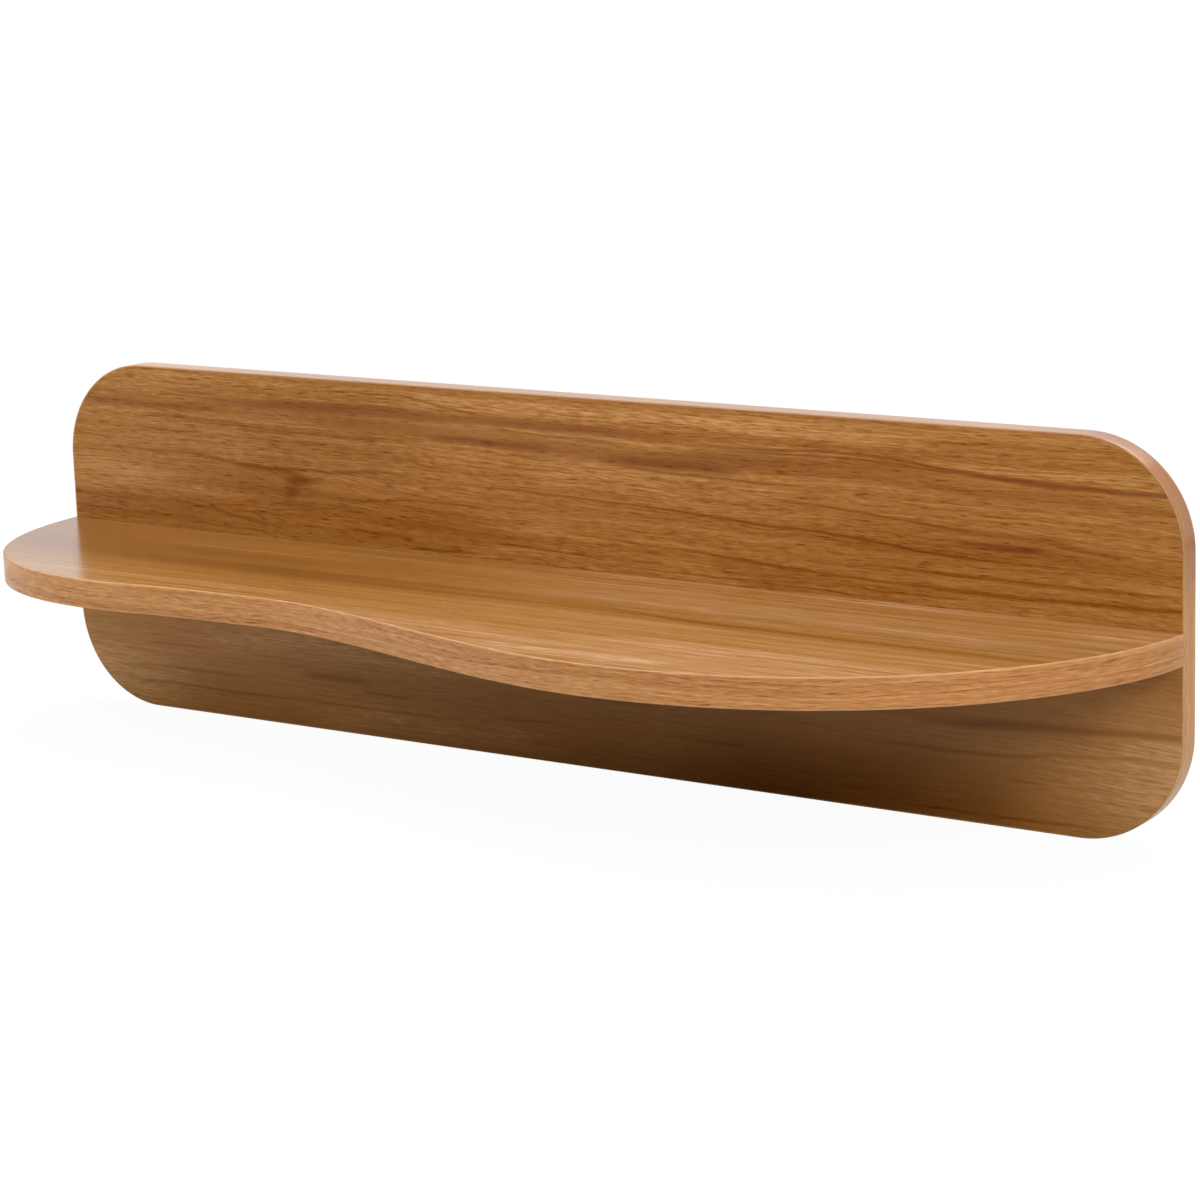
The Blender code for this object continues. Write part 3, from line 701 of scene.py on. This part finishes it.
def sheet_rings(x, low, high, near, far, upright):
    """Rings of a flat sheet: each crosses it at one x from low to high on the near face
    and comes back on the far face. The cross place is low + t (high - low)."""
    t = numpy.linspace(0, 1, SHEET_ROWS)
    across = low[:, None] + t * (high - low)[:, None]
    across = numpy.hstack([across, across[:, ::-1]])
    depth = numpy.repeat([near, far], SHEET_ROWS)[None, :] + 0 * across
    along = x[:, None] + 0 * across
    order = [along, depth, across] if upright else [along, across, depth]
    return numpy.stack(order, axis=-1)


def panel_face(near, far):
    """The panel's sheet. Inside the corners its half height is full, and in a corner it
    is the corner centre's height plus the root of r squared less the run squared."""
    r = CORNER_RADIUS - VENEER_INSET
    angle = numpy.linspace(math.pi / 2, 0, CORNER_STEPS)
    x = PANEL_WIDTH / 2 - CORNER_RADIUS + r * numpy.sin(angle)
    half = PANEL_HEIGHT / 2 - CORNER_RADIUS + r * numpy.cos(angle)
    x = numpy.concatenate([-x, x[::-1]])
    half = numpy.concatenate([half, half[::-1]])
    return sheet_rings(x, -half, half, near, far, True)


face = closed_loft("panel_face", panel_face(PANEL_FRONT, PANEL_FRONT + VENEER))
place_piece("panel_face", face, panel_walnut, "walnut_veneer", "panel_front_veneer")

# %% Veneer on the shelf's top and underside
def shelf_face(near, far):
    """The shelf's sheet: at each point of the wave, moved into the board by the inset,
    the sheet runs from the panel's face out to the wave."""
    edge = (wave + wave_inward * VENEER_INSET)[1:-1]
    back = numpy.full(len(edge), PANEL_FRONT - GAP)
    return sheet_rings(edge[:, 0], back, PANEL_FRONT - edge[:, 1], near, far, False)


top = closed_loft("shelf_top_face", shelf_face(SHELF_TOP, SHELF_TOP - VENEER))
place_piece("shelf_top_face", top, shelf_walnut, "walnut_veneer", "shelf_top_veneer")
below = closed_loft("shelf_under_face", shelf_face(SHELF_UNDERSIDE, SHELF_UNDERSIDE + VENEER))
place_piece("shelf_under_face", below, underside_walnut, "walnut_veneer",
            "shelf_bottom_veneer")

# %% [markdown]
# ## The edge bands
#
# The raw edge of a veneered board is covered by a band of the same wood, 1 mm thick. Its
# two outer corners, the arrises, are rounded by sanding, and that small round is what
# catches the light as a thin line along every edge; the arrises are also painted paler, a
# painted highlight of that line. The band is a section carried along the outline, and its
# UV map follows the edge, so that the grain runs round the corners as it does on the real band.

# %% The band's section and its path
ARRIS_STEPS = 8                 # steps on each rounded arris
EDGE_ROWS = 6                   # rows of faces on the flat of the edge
BUTT_JOINT = 0.0001             # where the two ends of the panel's band meet


def band_section(thickness):
    """Points (inset, height) of half a ring: from the inner corner on one side, over the
    rounded arris, across the edge, and over the other arris to the inner corner.

    An arris is a quarter circle: inset r (1 - sin a), height h - r (1 - cos a).
    """
    half, r = thickness / 2, ARRIS_RADIUS
    angle = numpy.linspace(0, math.pi / 2, ARRIS_STEPS + 1)
    arris = numpy.column_stack([r * (1 - numpy.sin(angle)), half - r * (1 - numpy.cos(angle))])
    flat = numpy.linspace(half - r, r - half, EDGE_ROWS + 1)[1:-1]
    edge = numpy.column_stack([0 * flat, flat])
    lower = arris[::-1] * (1, -1)
    return numpy.vstack([[(EDGE_BAND, half)], arris, edge, lower, [(EDGE_BAND, -half)]])


def band_mesh(name, points, inward, thickness, to_world):
    """Carry the section along the outline: point + inset * inward, at each height. The
    inner side goes straight back, with as many points as the outer side has."""
    outer = band_section(thickness)
    back = numpy.linspace(-thickness / 2, thickness / 2, len(outer) + 2)[1:-1]
    inner = numpy.column_stack([numpy.full(len(outer), EDGE_BAND), back])
    section = numpy.vstack([outer, inner])
    flat = points[:, None] + section[None, :, :1] * inward[:, None]
    height = numpy.broadcast_to(section[:, 1], flat.shape[:2])
    steps = numpy.linalg.norm(numpy.diff(points, axis=0), axis=1)
    lengths = numpy.concatenate([[0.0], numpy.cumsum(steps)])
    walk = numpy.linalg.norm(numpy.diff(section, axis=0), axis=1)
    crosses = numpy.concatenate([[0.0], numpy.cumsum(walk)])
    rings = to_world(flat[..., 0], flat[..., 1], height)
    return closed_loft(name, rings, lengths, crosses)


def upright_band(x, z, height):
    """The panel's band stands up: its outline is x and z, and the section's height runs
    along Y, to both sides of the board's middle plane."""
    return numpy.stack([x, height + PANEL_FRONT / 2, z], axis=-1)


def level_band(x, depth, height):
    """The shelf's band lies level: its outline is x and the depth before the panel, and
    the section's height runs along Z."""
    return numpy.stack([x, PANEL_FRONT - depth, height + SHELF_MIDDLE], axis=-1)

# %% Walnut of the bands
def across_band(thickness):
    """Width of the band's outer side in mm, measured over both rounds, as the UV map is."""
    section = band_section(thickness)
    return MM * float(numpy.linalg.norm(numpy.diff(section, axis=0), axis=1).sum())


# Along the rim the path starts under the middle of the panel and goes round by the right,
# so that its top edge lies between 640 and 1310 mm. These marks are far wider than the
# band, so they darken all of it: painted shade on the upward-facing top edge and its corners,
# most at the upper right
RIM_PAINTED_SHADE = [(60.0, 0.40, [(560, 8), (950, 8), (1400, 8)]),
             (60.0, 0.27, [(500, 8), (600, 8), (690, 8)])]
WAVE_MARKS = [(60.0, 0.04, [(640, 9), (900, 9), (1200, 9)])]

# The panel's band is polished, and its top edge mirrors the white room at a low angle
rim_walnut = walnut("walnut_edge_band_of_the_panel", "UV", "Y", 4.2, RIM_TONES, EDGE_LAYERS,
                    marks=RIM_PAINTED_SHADE, pores=0.25, contrast=0.9, gloss=0.15, ior=1.55,
                    band_width=across_band(PANEL_THICKNESS))
# The shelf's band faces the eye, and its open pores show as on the panel's face
wave_walnut = walnut("walnut_edge_band_of_the_shelf", "UV", "Y", 8.8, BAND_TONES, EDGE_LAYERS,
                     marks=WAVE_MARKS, pores=0.65, contrast=1.1,
                     band_width=across_band(SHELF_THICKNESS))
print("outer sides of the bands, in mm:", round(across_band(PANEL_THICKNESS), 2),
      round(across_band(SHELF_THICKNESS), 2))

# %% Bands round the panel and along the shelf
rim_path = rim.copy()
rim_path[0, 0] += BUTT_JOINT / 2
rim_path[-1, 0] -= BUTT_JOINT / 2
panel_band = band_mesh("panel_edging", rim_path, rim_inward, PANEL_THICKNESS, upright_band)
place_piece("panel_edging", panel_band, rim_walnut, "walnut_edge_band", "panel_edge_band")
shelf_band = band_mesh("shelf_edging", wave, wave_inward, SHELF_THICKNESS, level_band)
place_piece("shelf_edging", shelf_band, wave_walnut, "walnut_edge_band", "shelf_edge_band")

# %% [markdown]
# ## The finishes inside and behind
#
# The cores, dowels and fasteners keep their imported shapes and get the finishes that
# they have on the real shelf. They show from behind and through the keyholes.

# %% Finishes of the core, the dowels and the steel
FLECKS = 900.0                  # flecks of fibre in a metre: one is about 1.1 mm
RAYS = (2500.0, 300.0, 2500.0)  # rays in a metre: 0.4 mm wide, 3.3 mm along the dowel, Y
CLOUDS = 180.0                  # clouds of the zinc bath in a metre: one is about 5.6 mm
CLOUDY = (0.3, 0.7, 0.24, 0.42)     # weak and strong cloud, and the roughness of each


def fibreboard():
    """Medium-density fibreboard: pressed wood fibre, an even tan with fine flecks."""
    material, tree, shader = new_material("medium_density_fibreboard")
    source = node(tree, "TexCoord").outputs["Object"]
    fibres = node(tree, "TexNoise", sockets={"Vector": source, "Scale": FLECKS, "Detail": 3.0})
    tint = node(tree, "Mix", sockets={0: fibres, 6: colour("#8E7048"), 7: colour("#B3946A")},
                data_type="RGBA")
    tree.links.new(tint.outputs[2], shader.inputs["Base Color"])
    shader.inputs["Roughness"].default_value = 0.85
    return material


def beech():
    """Turned beech dowel: pale pinkish wood with short darker rays."""
    material, tree, shader = new_material("turned_beech")
    source = node(tree, "TexCoord").outputs["Object"]
    spread = node(tree, "VectorMath", source, RAYS, operation="MULTIPLY")
    rays = node(tree, "TexNoise", sockets={"Vector": spread, "Scale": 1.0, "Detail": 2.0})
    tint = node(tree, "Mix", sockets={0: rays, 6: colour("#B98F62"), 7: colour("#E0BE94")},
                data_type="RGBA")
    tree.links.new(tint.outputs[2], shader.inputs["Base Color"])
    shader.inputs["Roughness"].default_value = 0.6
    return material


def zinc():
    """Zinc-plated steel: a bright bluish metal, a little cloudy from the bath."""
    material, tree, shader = new_material("zinc_plated_steel_sheet")
    source = node(tree, "TexCoord").outputs["Object"]
    cloud = node(tree, "TexNoise", sockets={"Vector": source, "Scale": CLOUDS, "Detail": 3.0})
    tint = node(tree, "Mix", sockets={0: cloud, 6: colour("#A9ADB2"), 7: colour("#D2D5D8")},
                data_type="RGBA")
    tree.links.new(tint.outputs[2], shader.inputs["Base Color"])
    rough = node(tree, "MapRange", cloud, *CLOUDY)
    tree.links.new(rough.outputs[0], shader.inputs["Roughness"])
    shader.inputs["Metallic"].default_value = 1.0
    return material


steel = zinc()
finishes = {"core": fibreboard(), "dowel": beech(), "plate": steel, "screw": steel,
            "rear_veneer": rear_walnut}
for name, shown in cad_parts.items():
    if shown.hide_render:
        continue
    finish = next(f for word, f in finishes.items() if word in name)
    shown.data.materials.clear()
    shown.data.materials.append(finish)
print("finishes on the packed nodes:", sorted({m.name for m in finishes.values()}))

# %% [markdown]
# ## Camera
#
# The picture is taken from the right of the shelf and a little above it, with a long
# lens from two metres away, so that the lines stay nearly parallel.

# %% Camera
CAMERA_PLACE = (1.15848, -1.68755, 0.43248)
CAMERA_TURN = (77.7018, 1.8404, 33.8452)    # degrees about X, Y and Z
LENS = 103.377                  # mm, on a sensor 36 mm wide

camera_data = bpy.data.cameras.new("camera")
camera_data.lens = LENS
camera_data.sensor_width = 36.0
camera = bpy.data.objects.new("camera", camera_data)
camera.location = CAMERA_PLACE
camera.rotation_euler = [math.radians(a) for a in CAMERA_TURN]
bpy.context.scene.collection.objects.link(camera)
bpy.context.scene.camera = camera
print("camera at", CAMERA_PLACE, "with a lens of", LENS, "mm")

# %% [markdown]
# ## Floor and light
#
# A product like this is photographed standing on a pale table under large soft lamps.
# The table lights the shelf from below and lies in the shelf's own shadow, which is why
# the panel darkens towards its lower edge; painted shade on the panel's veneer adds to it
# in the middle. The picture's background is pure white, so what the camera sees of the
# floor and the room is lifted to white, while their light on the wood stays as it is.

# %% Floor
FLOOR_REACH = 6.0
FLOOR_CLEARANCE = 0.0002        # below the panel's lower edge
SHADOW_REACH = 1.4              # nearer than this, the floor mirrors the shelf's shadow
LIT_REACH = 3.2                 # beyond this, it is part of the white background
CAMERA_LIFT = 0.9               # share of white in what the camera sees of the floor
GLOW = (1.06, 1.12)             # strength of that white, near the shelf and far from it


def floor_mesh():
    """A level square: x and y run from minus to plus the reach."""
    side = numpy.array([-FLOOR_REACH, FLOOR_REACH])
    x, y = numpy.meshgrid(side, side)
    height = -PANEL_HEIGHT / 2 - FLOOR_CLEARANCE
    points = numpy.column_stack([x.ravel(), y.ravel(), numpy.full(4, height)])
    mesh = bpy.data.meshes.new("floor")
    mesh.from_pydata(points, [], [(0, 1, 3, 2)])
    return mesh


def floor_paint():
    """Pale matt board. The camera sees nine parts of white in ten, and the tenth part
    still holds the shelf's shadow. Away from the shelf, glossy and see-through surfaces
    see the same white."""
    material, tree, shader = new_material("pale_matt_board")
    shader.inputs["Base Color"].default_value = colour("#CCCCCC")
    shader.inputs["Roughness"].default_value = 0.9
    path = node(tree, "LightPath")
    place = node(tree, "TexCoord").outputs["Object"]
    away = node(tree, "VectorMath", place, operation="LENGTH").outputs["Value"]
    far = node(tree, "MapRange", away, SHADOW_REACH, LIT_REACH, interpolation_type="SMOOTHSTEP")
    mirrored = node(tree, "Math", path.outputs["Is Glossy Ray"],
                    path.outputs["Is Transmission Ray"], operation="MAXIMUM")
    mirrored = node(tree, "Math", mirrored, far, operation="MULTIPLY")
    seen = node(tree, "Math", path.outputs["Is Camera Ray"], mirrored, operation="MAXIMUM")
    lift = node(tree, "Math", seen, CAMERA_LIFT, operation="MULTIPLY")
    glow = node(tree, "MapRange", far, 0.0, 1.0, *GLOW)
    glow = node(tree, "Emission", colour("#FFFFFF"), glow)
    mixed = node(tree, "MixShader", lift, shader, glow)
    tree.links.new(mixed.outputs[0], tree.nodes["Material Output"].inputs["Surface"])
    return material


floor = bpy.data.objects.new("floor", floor_mesh())
floor.data.materials.append(floor_paint())
bpy.context.scene.collection.objects.link(floor)
print("floor at", -PANEL_HEIGHT / 2 - FLOOR_CLEARANCE)

# %% Room
ROOM_LIGHT = 0.04               # light that reaches the wood from the room itself

world = bpy.data.worlds.new("studio")
bpy.context.scene.world = world
world.use_nodes = True
sky = world.node_tree
sky.nodes.clear()
path = node(sky, "LightPath")
seen = node(sky, "Math", path.outputs["Is Camera Ray"], path.outputs["Is Glossy Ray"],
            operation="MAXIMUM")
seen = node(sky, "Math", seen, path.outputs["Is Transmission Ray"], operation="MAXIMUM")
strength = node(sky, "MapRange", seen, 0.0, 1.0, ROOM_LIGHT, 1.0)
node(sky, "OutputWorld", node(sky, "Background", colour("#FFFFFF"), strength))
print("the room's light on the wood:", ROOM_LIGHT)

# %% Lamps
# Each row: name, place, width, height and power in watts. All of them shine at AIM.
AIM = (0.0, -0.05, 0.0)
LAMPS = [
    ("overhead_softbox", (0.0, -0.15, 1.6), 1.2, 1.0, 15.5),
    ("front_softbox", (0.0, -1.6, 1.6), 1.4, 1.0, 11.0),
    ("right_softbox", (2.0, -1.0, 1.35), 1.0, 1.0, 34.0),
    ("left_panel_light", (-2.3, -0.65, 0.58), 0.7, 0.7, 27.0),
    ("back_softbox", (0.0, 1.4, 1.4), 1.4, 1.0, 12.5),
    ("back_strip", (0.0, 1.357, 1.570), 1.6, 0.06, 14.0),
]


def softbox(name, place, width, height, power):
    """A rectangular soft light at a place, turned to shine at AIM."""
    data = bpy.data.lights.new(name, "AREA")
    data.shape, data.size, data.size_y, data.energy = "RECTANGLE", width, height, power
    lamp = bpy.data.objects.new(name, data)
    away = numpy.subtract(place, AIM)
    lamp.location = place
    lamp.rotation_euler = (math.atan2(math.hypot(away[0], away[1]), away[2]), 0.0,
                           math.atan2(away[0], -away[1]))
    bpy.context.scene.collection.objects.link(lamp)


for row in LAMPS:
    softbox(*row)
print("lamps:", ", ".join(row[0] for row in LAMPS))

# %% [markdown]
# ## Colour
#
# The Standard view shows colours as they are, with no film look, so that white stays
# white.

# %% Colour handling and the closing lines
bpy.context.scene.view_settings.view_transform = "Standard"
